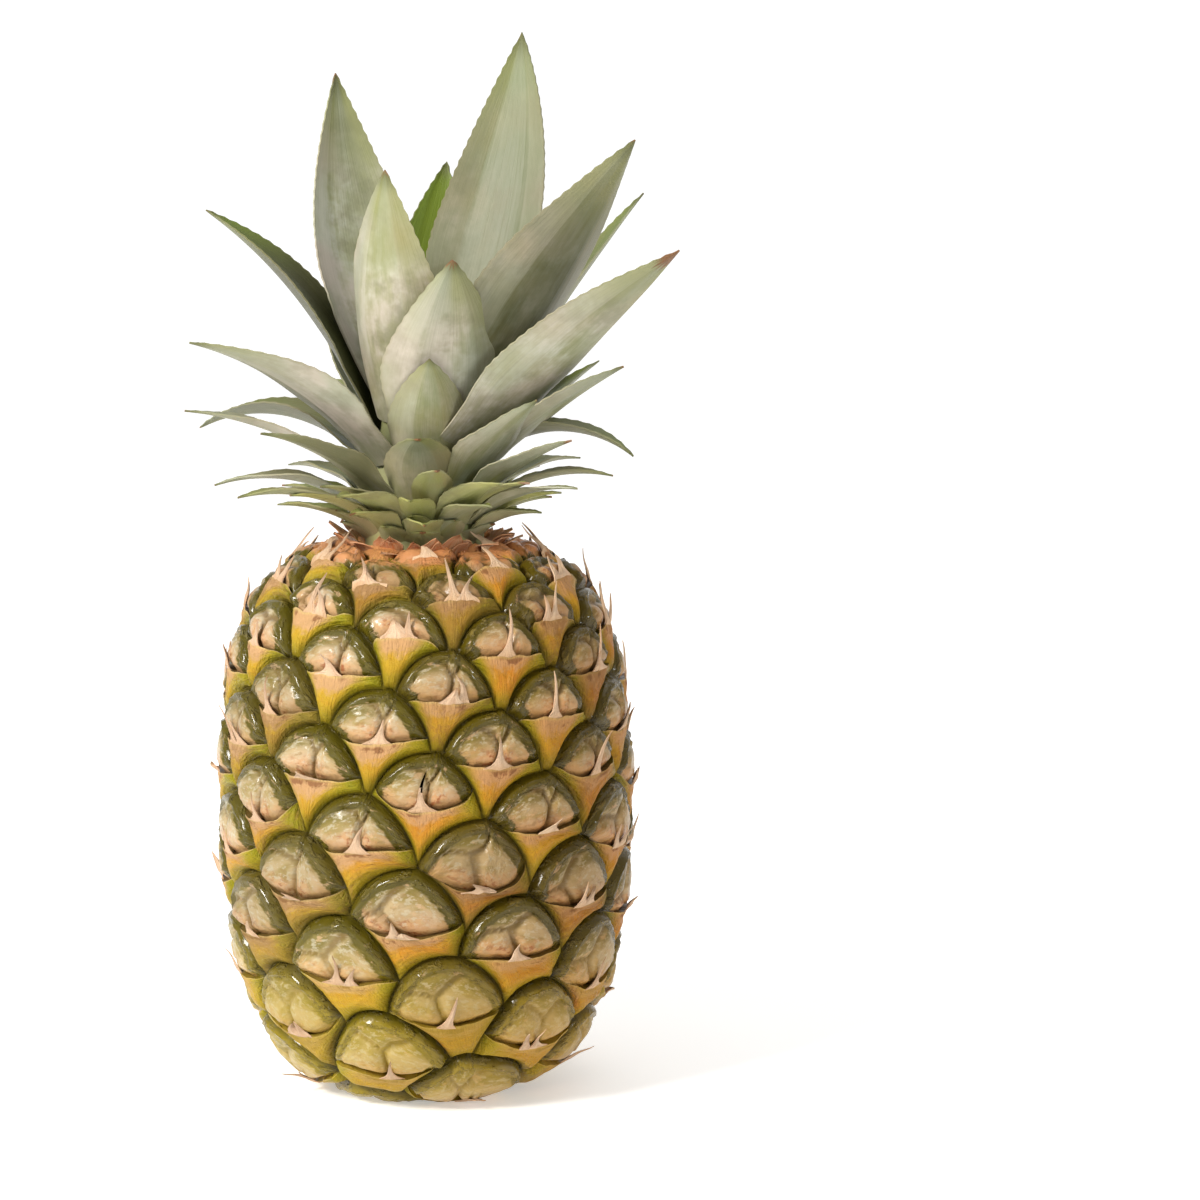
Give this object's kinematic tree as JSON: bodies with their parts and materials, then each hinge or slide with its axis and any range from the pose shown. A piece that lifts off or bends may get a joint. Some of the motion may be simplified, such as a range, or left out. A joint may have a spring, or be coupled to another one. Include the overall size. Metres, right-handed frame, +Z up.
{
  "type": "pineapple",
  "caption": "A whole pineapple with its crown, standing upright on its foot: knobbly rind of spiralling fruitlets, cut stalk beneath, spiky grey-green leaves above.",
  "frame": {"origin": "centre of the fruit's foot, on the ground it stands on, where the upright axis of the fruit and of its cut stalk meets it", "axes": "+Z runs up the fruit's axis to the crown, -Y is the front that the pictured side faces, +X is to the right seen from the front"},
  "size_m": [0.1401, 0.1405, 0.3077],
  "materials": {
    "rind": "waxy, yellow-green and tan, with grey-green eyes",
    "cut_stalk": "dry, fibrous, cut square",
    "crown_stem": "satin, pale green",
    "leaf": "waxy grey bloom over green"
  },
  "bodies": {
    "root": {"crown_stem": "crown_stem", "fruit": "rind", "leaf_arch_left": "leaf", "leaf_curl_left": "leaf", "leaf_curl_rear": "leaf", "leaf_curl_rear_left": "leaf", "leaf_curl_right": "leaf", "leaf_edge_left": "leaf", "leaf_edge_right": "leaf", "leaf_fan_right": "leaf", "leaf_folded_left": "leaf", "leaf_folded_right": "leaf", "leaf_foot_left": "leaf", "leaf_foot_right": "leaf", "leaf_front_low": "leaf", "leaf_front_mid": "leaf", "leaf_heart": "leaf", "leaf_low_left": "leaf", "leaf_low_right": "leaf", "leaf_mid_right": "leaf", "leaf_reach_right": "leaf", "leaf_rear": "leaf", "leaf_rear_bent": "leaf", "leaf_rear_left": "leaf", "leaf_rear_low": "leaf", "leaf_rear_right": "leaf", "leaf_rear_short": "leaf", "leaf_rear_upright": "leaf", "leaf_short_left": "leaf", "leaf_short_right": "leaf", "leaf_spread_right": "leaf", "leaf_tall_left": "leaf", "leaf_tallest": "leaf", "leaf_upright_front": "leaf", "leaf_upright_left": "leaf", "leaf_whip_left": "leaf", "leaf_whip_right": "leaf", "stem_stub": "cut_stalk"}
  },
  "joints": []
}
